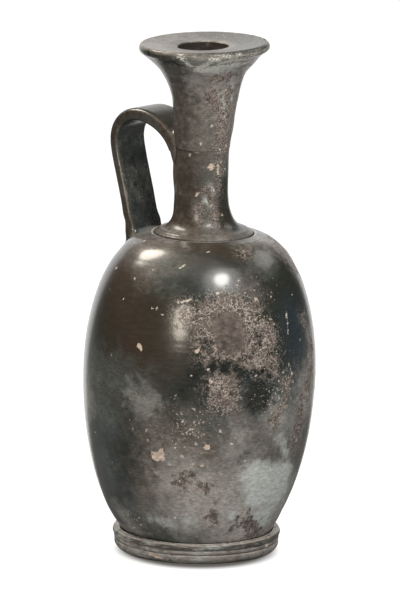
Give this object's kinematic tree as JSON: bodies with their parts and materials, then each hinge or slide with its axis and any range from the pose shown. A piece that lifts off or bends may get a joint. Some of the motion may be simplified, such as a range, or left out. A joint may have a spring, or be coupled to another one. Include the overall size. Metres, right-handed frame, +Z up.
{
  "type": "lekythos",
  "caption": "Tall clay oil flask with a trumpet mouth, narrow neck, ovoid body, strap handle and ring foot.",
  "frame": {"origin": "on the wheel axis, on the plane that the foot stands on", "axes": "+Z up the wheel axis to the mouth; the handle lies in the XZ plane on the -X side"},
  "size_m": [0.1134, 0.1134, 0.25],
  "materials": {
    "foot_gloss": "satin",
    "body_gloss": "gloss",
    "neck_gloss": "satin",
    "mouth_gloss": "satin",
    "handle_gloss": "gloss"
  },
  "bodies": {
    "root": {"foot": "foot_gloss", "body": "body_gloss", "neck": "neck_gloss", "mouth": "mouth_gloss", "handle": "handle_gloss"}
  },
  "joints": []
}
